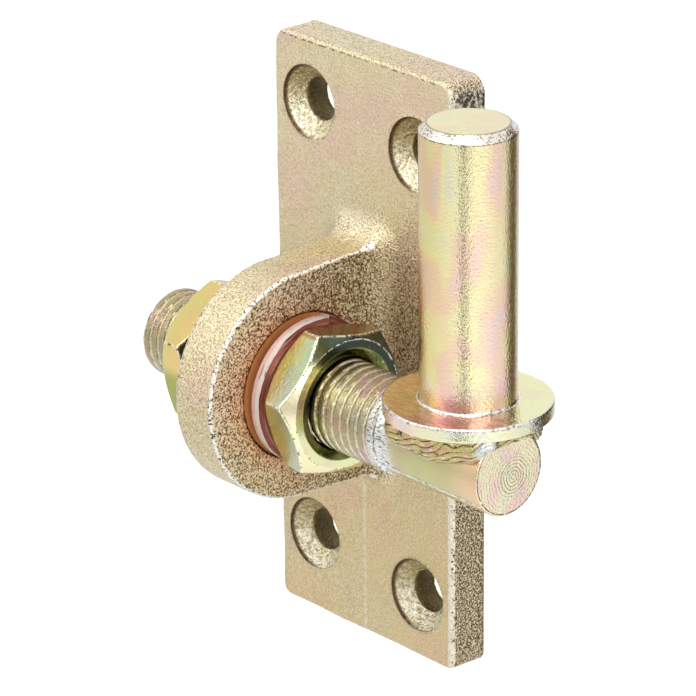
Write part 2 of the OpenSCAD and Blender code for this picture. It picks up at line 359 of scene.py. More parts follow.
skin_x, skin_y, skin_z = skin.T
from_right = skin_x - plate_half_w
from_front = skin_y + plate_t
web_edge = arris(web_outline(skin_y, skin_z), np.abs(skin_x) - eye_half, 0.75) * (from_front < -foot_r * 0.3)
side_edge = 0.8 * arris(from_right + 0.1, from_front - 0.7, 0.5) * (np.abs(skin_z) < plate_half_h - 1.5)
wear = np.clip(1.5 * np.maximum(web_edge, side_edge), 0, 1)
strip = np.clip(1.5 * arris(from_right + 0.6, from_front - 0.1, 1.0), 0, 1)
on_eye = np.clip((skin_x - eye_half + 0.8) / 0.5, 0, 1) * (from_front < -1)
outer_share = np.clip((axis_y - skin_y) / eye_r * 0.5 + 0.55, 0.15, 1)
past_seat = np.clip(np.hypot(skin_y - axis_y, skin_z) - seat_r, 0, None)
tint = on_eye * outer_share * np.exp(-past_seat / 4.2)
facing = slope(forging, skin)
facing /= np.linalg.norm(facing, axis=1)[:, None]
on_plate_front = np.clip((-facing[:, 1] - 0.85) / 0.1, 0, 1) * (from_front > -0.6)
on_plate_back = np.clip((facing[:, 1] - 0.85) / 0.1, 0, 1)
beside_web = np.exp(-((skin_z - 8) / 26) ** 4) / (1 + np.exp(-skin_x))
# Share of grain speckle and of painted shade, set by which way the skin faces: most on faces that look
# sideways
grain_and_shade_by_facing = 0.46 + 0.54 * np.abs(facing[:, 0]) ** 1.5 + 0.10 * np.clip(facing[:, 2], 0, 1)
grain_and_shade_by_facing = grain_and_shade_by_facing * (1 - on_plate_front - on_plate_back)
grain_and_shade_by_facing += (0.20 + 0.58 * beside_web) * on_plate_front + 0.24 * on_plate_back
bracket = surface(
    "forged_bracket", skin, skin_quads.tolist(), "wall_plate", "bracket",
    {"wear": wear, "strip": strip, "tint": tint, "coarse": np.clip(grain_and_shade_by_facing, 0, 1)})


class Finish(ShaderTree):
    """Tree of colours and masks. A mask runs from 0 to 1, and a noise's scale is in lumps per metre.
    A value may also be a stretch, written (value, low, high) or with what it gives at either end after
    those; stepped says what it stands for."""

    def node(self, kind, values=None, **options):
        plain = {}
        for key, value in (values or {}).items():
            is_stretch = isinstance(value, tuple) and isinstance(value[0], bpy.types.NodeSocket)
            plain[key] = self.stepped(*value) if is_stretch else value
        return super().node(kind, plain, **options)

    def plus(self, a, b):
        return self.math("ADD", a, b)

    def minus(self, a, b):
        return self.math("SUBTRACT", a, b)

    def times(self, first, *others):
        for value in others:
            first = self.math("MULTIPLY", first, value)
        return first

    def times_plus(self, a, factor, extra):
        return self.math("MULTIPLY_ADD", a, factor, extra)

    def greater(self, a, b):
        return self.math("MAXIMUM", a, b)

    def apart(self, a, b):
        """How far one value is from another."""
        return self.math("ABSOLUTE", self.minus(a, b))

    def length(self, a, b):
        """Length of a line whose two square parts are given."""
        return self.math("SQRT", self.plus(self.times(a, a), self.times(b, b)))

    def ragged(self, value, uneven, amount):
        """Value moved up and down by a noise, so that the edge of a patch frays."""
        return self.times_plus(self.minus(uneven, 0.5), amount, value)

    def stepped(self, value, low, high, bottom=0.0, top=1.0):
        """Value carried from low..high to bottom..top, clamped and eased at both ends."""
        ends = {"Value": value, "From Min": low, "From Max": high, "To Min": bottom, "To Max": top}
        return self.node("MapRange", ends, interpolation_type="SMOOTHSTEP").outputs[0]

    def mixed(self, mask, under, over, blend="MIX"):
        """Colour with another laid over it by a mask."""
        return self.node("Mix", {0: mask, 6: under, 7: over}, data_type="RGBA", blend_type=blend).outputs[2]

    def layered(self, colour, *layers):
        """Colour with (mask, colour) layers laid over it in turn."""
        for mask, over in layers:
            colour = self.mixed(mask, colour, over)
        return colour

    def tinted(self, value, stops):
        """Colour read off a scale of (place, colour) stops."""
        scale = self.node("ValToRGB", {0: value})
        elements = scale.color_ramp.elements
        while len(elements) < len(stops):
            elements.new(0.5)
        for element, (at, colour) in zip(elements, stops):
            element.position = at
            element.color = (*colour, 1)
        return scale.outputs[0]

    def noise(self, at, scale, detail=2.0, rough=0.5, distortion=0.0):
        """Fractal noise from 0 to 1."""
        values = {"Vector": at, "Scale": scale, "Detail": detail, "Roughness": rough}
        return self.node("TexNoise", {**values, "Distortion": distortion}).outputs[0]


def shared_effect(name, inputs, outputs):
    """Shader group with named sockets, as {name: kind}; returns the group, its tree and its two ends."""
    group = bpy.data.node_groups.new(name, "ShaderNodeTree")
    for way, sockets in (("INPUT", inputs), ("OUTPUT", outputs)):
        for key, kind in sockets.items():
            group.interface.new_socket(key, in_out=way, socket_type="NodeSocket" + kind)
    given, sent = group.nodes.new("NodeGroupInput").outputs, group.nodes.new("NodeGroupOutput").inputs
    return group, Finish(group), given, sent


# Film of passivation on zinc: soft patches of green, yellow, rose and lilac over the metal's own colour
film_group, film_tree, given, sent = shared_effect(
    "passivation_film", {"Vector": "Vector", "Patches": "Float", "Metal": "Color", "Strength": "Float"},
    {"Color": "Color"})
swim = film_tree.noise(given["Vector"], given["Patches"], 2.0, 0.45, 0.35)
hues = film_tree.tinted(swim, [
    (0.28, (0.88, 0.95, 0.88)), (0.36, (0.94, 1.0, 0.80)), (0.46, (0.98, 1.0, 0.72)),
    (0.51, (1.0, 0.94, 0.74)), (0.57, (1.0, 0.84, 0.76)), (0.64, (1.0, 0.80, 0.86)),
    (0.74, (0.84, 0.82, 0.94))])
full_film = film_tree.mixed(1.0, given["Metal"], hues, "MULTIPLY")
film_group.links.new(film_tree.mixed(given["Strength"], given["Metal"], full_film), sent["Color"])

# Grain of a rough or worn skin: its height for a bump, and masks of its pits and its peaks
grain_group, grain_tree, given, sent = shared_effect(
    "grain", {"Vector": "Vector", "Coarse": "Float", "Fine": "Float"},
    {"Height": "Float", "Pits": "Float", "Peaks": "Float"})
large = grain_tree.noise(given["Vector"], given["Coarse"], 1.0)
small = grain_tree.noise(given["Vector"], given["Fine"], 1.0)
grain_height = grain_tree.plus(grain_tree.times(large, 0.6), grain_tree.times(small, 0.4))
grain_group.links.new(grain_height, sent["Height"])
grain_group.links.new(grain_tree.stepped(grain_height, 0.480, 0.420), sent["Pits"])
grain_group.links.new(grain_tree.stepped(grain_height, 0.520, 0.570), sent["Peaks"])


class Plating(Finish):
    """Metallic material of one piece: spot is its Object coordinates, and x, y and z are those in mm."""

    def __init__(self, name, roughness=0.3, metallic=1.0):
        self.material = bpy.data.materials.new(name)
        self.material.use_nodes = True
        super().__init__(self.material.node_tree)
        self.shader = self.tree.nodes["Principled BSDF"].inputs
        self.shader["Roughness"].default_value = roughness
        self.shader["Metallic"].default_value = metallic
        self.spot = self.node("TexCoord").outputs["Object"]
        in_mm = self.node("VectorMath", {0: self.spot, "Scale": 1 / MM}, operation="SCALE")
        self.x, self.y, self.z = self.node("SeparateXYZ", {0: in_mm}).outputs

    def stored(self, name):
        """Value stored on the piece's points."""
        return self.node("Attribute", attribute_name=name).outputs["Fac"]

    def stretched(self, scale, move=(0.0, 0.0, 0.0)):
        """Object coordinates scaled along x, y and z, so that a noise draws out into streaks."""
        return self.node("Mapping", {"Vector": self.spot, "Location": move, "Scale": scale}).outputs[0]

    def film(self, patches, metal, strength, at=None):
        """Colour of a metal under the passivation film, with that many patches per metre."""
        values = {"Vector": at or self.spot, "Patches": patches, "Metal": metal, "Strength": strength}
        return self.group(film_group, values)["Color"]

    def grain(self, coarse, fine):
        """Height, Pits and Peaks of the grain, with its lumps per metre."""
        return self.group(grain_group, {"Vector": self.spot, "Coarse": coarse, "Fine": fine})

    def group(self, effect, values):
        return self.node("Group", values, node_tree=effect).outputs

    def dress(self, pieces, colour, relief, depth):
        """Colour and relief onto the shader, and the material onto its pieces; depth is in metres."""
        self.tree.links.new(colour, self.shader["Base Color"])
        bump = self.node("Bump", {"Height": relief, "Distance": depth})
        self.tree.links.new(bump.outputs[0], self.shader["Normal"])
        for piece in pieces:
            piece.data.materials.append(self.material)


zinc = Plating("forged_zinc")
lower_gold, upper_gold, web_side_shade = (0.72, 0.57, 0.35), (0.80, 0.67, 0.48), (0.36, 0.24, 0.11)
pit_shade_brown, peak_glint_cream, heat_red = (0.085, 0.05, 0.022), (1.0, 0.93, 0.66), (1.0, 0.56, 0.36)
speck_black, bare_highlit_white, seat_reflected_copper = (0.05, 0.04, 0.03), (1.0, 0.97, 0.90), (1.0, 0.42, 0.14)
grain = zinc.grain(2300.0, 4500.0)
chips = zinc.noise(zinc.spot, 900.0, 3.0, 0.7)
crumbs = zinc.noise(zinc.spot, 1700.0, 2.0, 0.6)
grain_and_shade_share, worn = zinc.stored("coarse"), zinc.stored("wear")

gold = zinc.mixed((zinc.z, -45, 35), lower_gold, upper_gold)
# Grain speckle of the blasted skin, with painted shade in its pits and painted glints, cream, on its peaks
grain_share = zinc.times(grain_and_shade_share, 0.95)
grained = zinc.layered(
    zinc.film(42.0, gold, 0.5),
    # painted shade: the web's sideways faces darker brown, most towards the plate
    (zinc.times((grain_and_shade_share, 0.6, 1.0), (zinc.y, -44, -20, 0.10, 0.80)), web_side_shade),
    (zinc.times(grain["Pits"], grain_share), pit_shade_brown),
    (zinc.times(grain["Peaks"], grain_share), peak_glint_cream),
)
heated = zinc.mixed(1.0, grained, heat_red, "MULTIPLY")

# Ragged trimmed corner at the top right, bare worn edges whose white is also a painted highlight along the
# rounded edges, and soil along the plate's top edge
at_trim = zinc.times((zinc.x, plate_half_w - 0.9, plate_half_w - 0.4), (zinc.z, 46, 58), 0.85)
torn = zinc.noise(zinc.spot, 1050.0, 2.0, 0.6)
torn_steel = zinc.mixed((torn, 0.44, 0.58), (0.05, 0.035, 0.02), (0.80, 0.74, 0.62))
rubbed_highlit_edge = zinc.times((zinc.ragged(worn, chips, 1.8), 0.42, 0.66), (worn, 0.08, 0.2), 0.9)
scraped_highlit_edge = zinc.times((zinc.ragged(zinc.stored("strip"), chips, 0.9), 0.35, 0.60), 0.9)
scraped_highlit_steel = zinc.mixed((crumbs, 0.44, 0.62), (0.80, 0.72, 0.54), (0.95, 0.90, 0.78))
nicks = zinc.times((crumbs, 0.44, 0.37), (worn, 0.08, 0.4))
top_line = zinc.stepped(zinc.apart(zinc.z, plate_half_h - 1.1), 0.26, 0.1)
top_soil = zinc.times(top_line, (zinc.y, 0.6 - plate_t, 0.3 - plate_t), (chips, 0.56, 0.44, 0.0, 0.75))

# Die's seam down the lower half of the plate
on_front = zinc.stepped(zinc.y, -0.5, -1.0)
seam_line = zinc.times(
    (zinc.apart(zinc.x, -0.2), 0.7, 0.1), (zinc.z, -24, -30), on_front, (chips, 0.35, 0.6, 0.1, 0.55))

# Countersinks: cutter marks, painted shade darker towards the top, painted highlights low in the cone, a
# painted shadow line at the rim and painted shade in the bore
x_side, z_side = zinc.math("SIGN", zinc.x), zinc.math("SIGN", zinc.z)
hole_side = zinc.minus(zinc.math("ABSOLUTE", zinc.x), hole_x)
hole_level = zinc.minus(zinc.apart(zinc.z, zinc.times(x_side, -hole_stagger)), hole_z)
reach = zinc.length(hole_side, hole_level)
to_right, to_top = zinc.times(hole_side, x_side), zinc.times(hole_level, z_side)
in_sink = zinc.times((reach, sink_r + 0.05, sink_r - 0.2), on_front)
cutter_marks = zinc.noise(zinc.spot, 1250.0, 2.0, 0.6)
sink_shade_tone = zinc.mixed((to_top, -7, 6), (0.92, 0.84, 0.60), (0.50, 0.40, 0.19))
sink_light = zinc.times((cutter_marks, 0.53, 0.62), (to_top, 3, -4, 0.35, 1.0))
sink_colour = zinc.layered(
    sink_shade_tone, ((cutter_marks, 0.50, 0.36, 0.0, 0.6), (0.26, 0.20, 0.08)), (sink_light, (1.0, 0.98, 0.86)))
rim_shadow_line = zinc.times(in_sink, (reach, sink_r - 1.0, sink_r - 0.55), (to_right, 2, -5, 0.10, 0.95))
bore_shade = zinc.times((reach, hole_r + 0.45, hole_r + 0.15), 0.95)

# Spot-faced seat round the eye's hole, painted copper as the washer's reflection in it, with a painted shadow
# line round its lip
from_eye = zinc.length(zinc.minus(zinc.y, axis_y), zinc.z)
near_seat = zinc.stepped(zinc.x, seat_x - 0.8, seat_x - 0.4)
spot_faced = zinc.times((from_eye, seat_r + 0.15, seat_r - 0.10), near_seat)
seat_shadow_line = zinc.times(
    (zinc.apart(from_eye, seat_r + 0.05), 0.40, 0.16), near_seat, (chips, 0.60, 0.46, 0.35, 0.95))
forged_colour = zinc.layered(
    grained,
    (zinc.stored("tint"), heated),
    (at_trim, torn_steel),
    (rubbed_highlit_edge, bare_highlit_white),
    (scraped_highlit_edge, scraped_highlit_steel),
    (zinc.greater(nicks, top_soil), speck_black),
    (seam_line, (0.85, 0.80, 0.66)),
    (in_sink, sink_colour),
    (rim_shadow_line, (0.12, 0.06, 0.02)),
    (bore_shade, (0.17, 0.12, 0.035)),
    (spot_faced, seat_reflected_copper),
    (seat_shadow_line, (0.06, 0.02, 0.01)),
)

matt = zinc.greater(zinc.times(grain["Peaks"], (grain_and_shade_share, 0.5, 1.0)), zinc.times(spot_faced, 0.7))
zinc.tree.links.new(zinc.times_plus(matt, -0.85, 0.85), zinc.shader["Metallic"])
zinc.tree.links.new(zinc.stepped(grain["Height"], 0.3, 0.7, 0.38, 0.26), zinc.shader["Roughness"])
rim_wall = zinc.times(zinc.greater((reach, sink_r - 0.5, sink_r + 0.05), zinc.minus(1.0, on_front)), 1.6)
cut_relief = zinc.times(cutter_marks, in_sink, 1.5)
grain_relief = zinc.times(grain["Height"], zinc.times_plus(spot_faced, -0.85, 1.0))
zinc.dress([bracket], forged_colour, zinc.plus(zinc.plus(grain_relief, cut_relief), rim_wall), 0.00036)

# ----------------------------------------
# Threaded stud: steel bar with an M20 thread of 2.5 mm pitch rolled on it, running out into a
# plain shank; faced in a lathe at its end, where the collared pin is welded on a narrow flat.
# ----------------------------------------
pitch = 2.5
crest_r, root_r, shank_r = 9.8, 8.5, 9.2
thread_end, run_out_length = 39.5, 2.4
thread_start_r, end_bevel = 7.9, 0.42
weld_flat = 9.0
stud_left, stud_right = stud_low[0], stud_high[0]


def around_stud(x, r, angle):
    """Points in mm round the stud's axis, with angles in radians from straight down towards the wall."""
    x, r, angle = np.broadcast_arrays(x, r, angle)
    return np.stack([x, axis_y + r * np.sin(angle), -r * np.cos(angle)], -1)


def eased(share):
    """Share from 0 to 1 with a soft start and end."""
    share = np.clip(share, 0, 1)
    return share * share * (3 - 2 * share)


def thread_depth(x, angle):
    """Height of the thread, 0 at the root and 1 at the crest: a ridge along a right-hand helix that climbs
    one pitch each turn, flattened at both ends."""
    phase = (x - stud_left) / pitch - angle / (2 * np.pi)
    ridge = 1 - np.abs(2 * (phase - np.floor(phase)) - 1)
    flank = np.clip((ridge - 0.05) / 0.38, 0, 1)
    return flank - 0.10 * np.sin(2 * np.pi * flank) / (2 * np.pi)


def sheet_faces(rows, columns, wrap_rows=False):
    """Quads over a grid of rings stored ring by ring, each ring closed, and the rings too if they wrap."""
    i = np.arange(rows if wrap_rows else rows - 1)[:, None]
    j = np.arange(columns)[None, :]
    low, high = i * columns, ((i + 1) % rows) * columns
    after = (j + 1) % columns
    return np.stack([low + j, low + after, high + after, high + j], -1).reshape(-1, 4)


def capped(rings, first, last, flip=False):
    """Points and faces of a grid of rings, with a fan to a middle point at either end."""
    rows, columns = rings.shape[:2]
    points = np.vstack([rings.reshape(-1, 3), first, last])
    j = np.arange(columns)
    after = (j + 1) % columns
    top = (rows - 1) * columns
    first_hub, last_hub = np.full(columns, rows * columns), np.full(columns, rows * columns + 1)
    faces = sheet_faces(rows, columns).tolist()
    faces += np.stack([after, j, first_hub], 1).tolist()
    faces += np.stack([top + j, top + after, last_hub], 1).tolist()
    return points, [face[::-1] for face in faces] if flip else faces


def on_points(values, hubs=0.0):
    """Values of a capped grid in the order of its points, then those of its two middle points."""
    return np.append(values.ravel(), [hubs, hubs])


turn = np.linspace(0, 2 * np.pi, 120, endpoint=False)[None, :]
thread_x = np.linspace(stud_left + 0.6, thread_end + 2.2, 560)[:, None]
depth = thread_depth(thread_x, turn)
fade = eased((thread_x - thread_end + 1.2) / run_out_length)
thread_r = np.minimum(root_r + (crest_r - root_r) * depth, thread_start_r + thread_x - stud_left)
thread_r = thread_r * (1 - fade) + shank_r * fade
left_rings = np.array([0.02, 0.25, 0.5, 0.75, 0.9, 0.97])[:, None] * thread_start_r
left_lip_x, left_lip_r = np.array([[0], [0.25]]) + stud_left, np.array([[0], [0.25]]) + thread_start_r
shank_x = np.linspace(thread_end + run_out_length, stud_right - 0.45, 60)[:, None]
bevel_x = stud_right - np.array([0.4, 0.3, 0.18, 0.08, 0.0])[:, None]
bevel_r = shank_r - np.array([0.0, 0.04, 0.12, 0.24, end_bevel])[:, None]
right_rings = np.array([0.995, 0.97, 0.9, 0.75, 0.5, 0.25, 0.02])[:, None] * (shank_r - end_bevel)
stud_rings = np.concatenate([
    around_stud(stud_left, left_rings, turn),
    around_stud(left_lip_x, left_lip_r, turn),
    around_stud(thread_x, thread_r, turn),
    around_stud(shank_x, shank_r, turn),
    around_stud(bevel_x, bevel_r, turn),
    around_stud(stud_right, right_rings, turn),
])
past_thread = stud_rings[..., 0] > thread_end + 1.2
stud_rings[past_thread, 2] = np.minimum(stud_rings[past_thread, 2], weld_flat)
thread_from = len(left_rings) + len(left_lip_x)
threaded = slice(thread_from, thread_from + len(thread_x))
crest, in_thread = np.zeros(stud_rings.shape[:2]), np.zeros(stud_rings.shape[:2])
crest[threaded], in_thread[threaded] = depth * (1 - fade), 1 - fade
stud_points, stud_faces = capped(stud_rings, (stud_left, axis_y, 0), (stud_right, axis_y, 0), flip=True)
stud = surface(
    "rolled_stud", stud_points, stud_faces, "pintle", "threaded_stud",
    {"crest": on_points(crest), "threaded": on_points(in_thread)}, sharp=40)

zinc = Plating("stud_zinc", 0.19)
shank_green, shank_yellow, shank_rose = (0.55, 0.54, 0.32), (0.58, 0.52, 0.25), (0.84, 0.58, 0.36)
grain = zinc.grain(1700.0, 4600.0)
streaks = zinc.noise(zinc.stretched((0.35, 1.0, 1.0)), 2600.0, 2.0, 0.6)

# Thread: painted shadow, black, in the roots and a painted highlight, bright, on the flanks, with duller
# crests under the film, scored along the bar
thread_highlight_and_shadow = zinc.tinted(zinc.stored("crest"), [
    (0.0, (0.03, 0.02, 0.015)), (0.36, (0.06, 0.045, 0.03)), (0.46, (1.0, 0.98, 0.92)),
    (0.80, (1.0, 0.97, 0.90)), (0.90, (0.48, 0.43, 0.34)), (1.0, (0.50, 0.45, 0.35))])
thread_tone = zinc.layered(
    zinc.mixed(1.0, thread_highlight_and_shadow, zinc.film(140.0, (0.86, 0.82, 0.76), 0.55), "MULTIPLY"),
    ((streaks, 0.60, 0.72, 0.0, 0.45), (0.92, 0.90, 0.82)),
    ((streaks, 0.36, 0.26, 0.0, 0.8), (0.08, 0.06, 0.04)),
)

# Shank: green, then yellow and rose towards its end, with a painted reflection low on its front: a bright
# line and dark specks
from_axis_y = zinc.minus(zinc.y, axis_y)
above_line = zinc.plus(zinc.times(from_axis_y, -0.60), zinc.times(zinc.z, 0.80))
low_side = zinc.stepped(zinc.z, -2, -4)
reflected_bright_line = zinc.times((zinc.math("ABSOLUTE", above_line), 0.6, 0.2), low_side, (streaks, 0.40, 0.50))
reflected_specks = zinc.times((above_line, 1.6, 0.4), (above_line, -0.6, 0.2), low_side, (streaks, 0.46, 0.38))
run_out = zinc.times((zinc.x, 35, 39), (zinc.x, 45.5, 41.5), 0.8)
run_out_grey = zinc.mixed((streaks, 0.36, 0.50), (0.16, 0.17, 0.16), (0.84, 0.86, 0.84))

# End face: the facing tool's rings, a little off the bar's middle, and a dark line near the rim
ring_pitch = 0.76
tool_r = zinc.length(zinc.minus(zinc.y, axis_y + 1.4), zinc.plus(zinc.z, 1.1))
uneven_r = zinc.times_plus(zinc.noise(zinc.spot, 300.0), 0.9, tool_r)
ring_wave = zinc.math("SINE", zinc.times(uneven_r, 2 * np.pi / ring_pitch))
on_end = zinc.stepped(zinc.x, stud_right - 0.12, stud_right - 0.02)
ring_line = zinc.times(
    (ring_wave, 0.55, 0.95), (tool_r, 5.5, 3.2, 0.10, 1.0), (streaks, 0.30, 0.52), on_end, 0.85)
end_r = zinc.length(from_axis_y, zinc.z)
end_rim = zinc.times(
    (zinc.apart(end_r, shank_r - 0.55), 0.22, 0.08), on_end, (streaks, 0.60, 0.46, 0.0, 0.95))
stud_colour = zinc.layered(
    zinc.film(62.0, shank_green, 0.75),
    ((zinc.x, 48, 56, 0.0, 0.7), shank_yellow),
    ((zinc.x, 59, 67.5, 0.0, 0.8), shank_rose),
    (reflected_bright_line, (1.0, 0.98, 0.86)),
    (reflected_specks, (0.14, 0.11, 0.05)),
    (zinc.stored("threaded"), thread_tone),
    (run_out, run_out_grey),
    (on_end, zinc.film(200.0, (1.0, 0.92, 0.80), 0.9)),
    (ring_line, (0.16, 0.10, 0.06)),
    (end_rim, (0.10, 0.07, 0.05)),
)
stud_relief = zinc.plus(zinc.times(grain["Height"], 0.9), zinc.times(ring_wave, on_end, -0.06))
zinc.dress([stud], stud_colour, stud_relief, 0.00016)

# ----------------------------------------
# Pivot pin: 20 mm bright bar turned in one piece with its collar, chamfered at the top, with a
# small radius at the root; the collar is welded down on the stud and carries the gate's eye.
# ----------------------------------------
pin_low, pin_high = (np.array(end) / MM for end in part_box("pivot_pin"))
pin_x = (pin_low[0] + pin_high[0]) / 2
collar_r, collar_t, collar_edge = (pin_high[0] - pin_low[0]) / 2, 3.0, 0.45
collar_foot, pin_top = pin_low[2], pin_high[2]
pin_r, pin_chamfer, pin_root_r = 10.0, 1.5, 0.5
pin_foot_r, pin_foot_h = 9.0, 1.0
collar_under = collar_foot + pin_foot_h
collar_top = collar_under + collar_t


def arc(centre, radius, start, end, count):
    """Points (radius, height) on an arc, with angles in degrees from straight outwards."""
    angle = np.radians(np.linspace(start, end, count))
    return np.stack([centre[0] + radius * np.cos(angle), centre[1] + radius * np.sin(angle)], 1)


def straight(start, end, count):
    """Points (radius, height) evenly along a line, without its last one."""
    share = np.linspace(0, 1, count, endpoint=False)[:, None]
    return np.array(start) * (1 - share) + np.array(end) * share


inner_edge_r, root_centre_r = collar_r - collar_edge, pin_r + pin_root_r
pin_profile = np.concatenate([
    straight((0.3, collar_foot), (pin_foot_r, collar_foot), 6),
    straight((pin_foot_r, collar_foot), (pin_foot_r, collar_under), 3),
    straight((pin_foot_r, collar_under), (inner_edge_r, collar_under), 10),
    arc((inner_edge_r, collar_under + collar_edge), collar_edge, -90, 0, 6),
    straight((collar_r, collar_under + collar_edge + 0.1), (collar_r, collar_top - collar_edge), 8),
    arc((inner_edge_r, collar_top - collar_edge), collar_edge, 0, 90, 6),
    straight((inner_edge_r - 0.1, collar_top), (root_centre_r, collar_top), 14),
    arc((root_centre_r, collar_top + pin_root_r), pin_root_r, 270, 180, 7),
    straight((pin_r, collar_top + pin_root_r + 0.2), (pin_r, pin_top - pin_chamfer - 0.15), 60),
    arc((pin_r - 0.3, pin_top - pin_chamfer - 0.13), 0.3, 0, 45, 4),
    arc((pin_r - pin_chamfer - 0.15, pin_top - 0.3), 0.3, 45, 90, 4),
    straight((pin_r - pin_chamfer - 0.3, pin_top), (0.3, pin_top), 12),
])
pin_turn = np.linspace(0, 2 * np.pi, 144, endpoint=False)[None, :]
profile_r, profile_z = pin_profile[:, :1], pin_profile[:, 1:]
pin_rings = np.stack(np.broadcast_arrays(
    pin_x + profile_r * np.cos(pin_turn), axis_y + profile_r * np.sin(pin_turn), profile_z), -1)
pin_points, pin_faces = capped(pin_rings, (pin_x, axis_y, collar_foot), (pin_x, axis_y, pin_top))
pin = surface("collared_pin", pin_points, pin_faces, "pintle", "pivot_pin", {}, sharp=50)

zinc = Plating("pin_zinc", 0.12)
pin_gold, pin_shade = (0.97, 0.86, 0.67), (0.80, 0.70, 0.42)
collar_reflection_rose, top_gold = (0.88, 0.74, 0.74), (0.84, 0.79, 0.52)
dark_copper, light_copper, collar_straw = (0.45, 0.29, 0.14), (0.62, 0.42, 0.28), (0.84, 0.84, 0.56)
grain = zinc.grain(1900.0, 3400.0)
chips = zinc.noise(zinc.spot, 1500.0, 2.0, 0.7)
off_x, off_y = zinc.minus(zinc.x, pin_x), zinc.minus(zinc.y, axis_y)
from_pin = zinc.length(off_x, off_y)
on_pin_top = zinc.stepped(zinc.z, pin_top - 0.12, pin_top - 0.02)
on_collar_top = zinc.times(
    (from_pin, pin_r + 0.5, pin_r + 0.6), (zinc.z, collar_top - 0.2, collar_top - 0.05))
on_rim = zinc.stepped(from_pin, collar_r - 0.3, collar_r - 0.1)

# Collar: copper from the weld's heat on the eye's side, rosier in front, and straw beyond
from_heat = zinc.plus(zinc.times(off_x, 0.66), zinc.times(off_y, 0.75))
heat_edge = zinc.times_plus(zinc.noise(zinc.spot, 260.0, 2.0, 0.6), 8, from_heat)
brushed = zinc.noise(zinc.stretched((0.5, 1.6, 1.0)), 900.0, 3.0, 0.7)
copper = zinc.mixed((brushed, 0.38, 0.62), dark_copper, light_copper)
warmth = zinc.mixed((off_x, -4, 6), (1.12, 1.22, 1.0), (0.94, 0.80, 1.25))
collar_tone = zinc.mixed((heat_edge, 7, 13), zinc.mixed(1.0, copper, warmth, "MULTIPLY"), collar_straw)
side_tone = zinc.mixed((from_heat, -1.5, -9.5), pin_gold, pin_shade)
under_film = zinc.layered(
    side_tone,
    # painted reflection of the collar: rose on the pin's foot
    ((zinc.z, collar_top + 9, collar_top + 2), collar_reflection_rose),
    (on_pin_top, top_gold),
    (on_collar_top, collar_tone),
    (on_rim, (0.88, 0.83, 0.74)),
)
film_strength = zinc.times_plus(zinc.greater(on_pin_top, on_collar_top), -0.55, 1.0)
drawn = zinc.stretched((1.0, 1.0, 0.5), move=(0.0, 0.020, 0.040))
pin_film = zinc.film(125.0, under_film, film_strength, at=drawn)

# Wear: bare metal on the collar's upper edge, the root and the chamfer, where its white is also a painted
# highlight, and a knock on the rim
at_edge = zinc.times(
    (from_pin, collar_r - 0.55, collar_r - 0.2), (zinc.z, collar_top - 0.9, collar_top - 0.45))
at_root = zinc.times((zinc.z, collar_top + 0.75, collar_top + 0.4), (from_pin, pin_r + 0.75, pin_r + 0.5))
chamfer_foot = pin_top - pin_chamfer
on_chamfer = zinc.times(
    (zinc.z, chamfer_foot - 0.18, chamfer_foot + 0.05), (zinc.z, pin_top, pin_top - 0.15))
bare = zinc.times(zinc.greater(at_edge, zinc.greater(at_root, on_chamfer)), 0.85)
bare_steel = zinc.mixed((chips, 0.50, 0.38), (0.88, 0.84, 0.80), (0.22, 0.19, 0.16))
knock = zinc.times(
    (zinc.apart(off_y, 2.8), 2.6, 1.0), (off_x, 12, 14), on_rim, (chips, 0.36, 0.44, 1.0, 0.7))
knock_steel = zinc.mixed((chips, 0.42, 0.54), (0.16, 0.14, 0.11), (0.80, 0.78, 0.74))
line_above = zinc.times(
    (zinc.apart(zinc.z, pin_top - 0.03), 0.12, 0.02),
    (from_pin, pin_r - pin_chamfer - 0.45, pin_r - pin_chamfer - 0.25), 0.6)
line_below = zinc.times((zinc.apart(zinc.z, chamfer_foot - 0.22), 0.16, 0.04), (chips, 0.58, 0.48))
pin_colour = zinc.layered(
    pin_film,
    (bare, bare_steel),
    (knock, knock_steel),
    (zinc.greater(line_above, line_below), (0.16, 0.15, 0.13)),
)
top_ring_pitch = 1.1
top_rings = zinc.times(
    zinc.math("SINE", zinc.times(from_pin, 2 * np.pi / top_ring_pitch)),
    (zinc.z, pin_top - 0.05, pin_top, 0.0, 0.10))
zinc.dress([pin], pin_colour, zinc.plus(grain["Height"], top_rings), 0.00013)

# ----------------------------------------
# Weld: a run of arc weld down both sides of the shank and thinly round its end, which joins
# the stud to the underside of the collar; its ripples lie slanting, as the torch was dragged.
# ----------------------------------------
bead_left, heavy_to, bead_right = 46.5, 58.0, 67.0
heavy_r, heavy_y, heavy_z = 4.6, 7.8, 5.5
thin_r, thin_y, thin_z = 3.4, 7.4, 6.7
end_r, end_z = 1.8, 8.3
tail_r, end_corner = 0.4, 2.0
ripple_pitch, ripple_depth = 1.35, 0.22


def weld_run(share):
    """Middle line (x, y, z), radius and length run of the weld: straight lines between its stops, from the
    tail on the near side round the stud's end to the tail on the wall side."""
    near_side = [
        (bead_left - heavy_r + 0.6, heavy_y, heavy_z, tail_r),
        (bead_left + 1.5, heavy_y, heavy_z, heavy_r),
        (heavy_to, heavy_y, heavy_z, heavy_r),
        (bead_right, thin_y, thin_z, thin_r),
        (stud_right, thin_y - end_corner, end_z, end_r),
    ]
    stops = np.array([(x, -y, z, r) for x, y, z, r in near_side] + near_side[::-1])
    lengths = np.concatenate([[0], np.cumsum(np.hypot(np.diff(stops[:, 0]), np.diff(stops[:, 1])))])
    along = share * lengths[-1]
    return [np.interp(along, lengths, column) for column in stops.T] + [along]


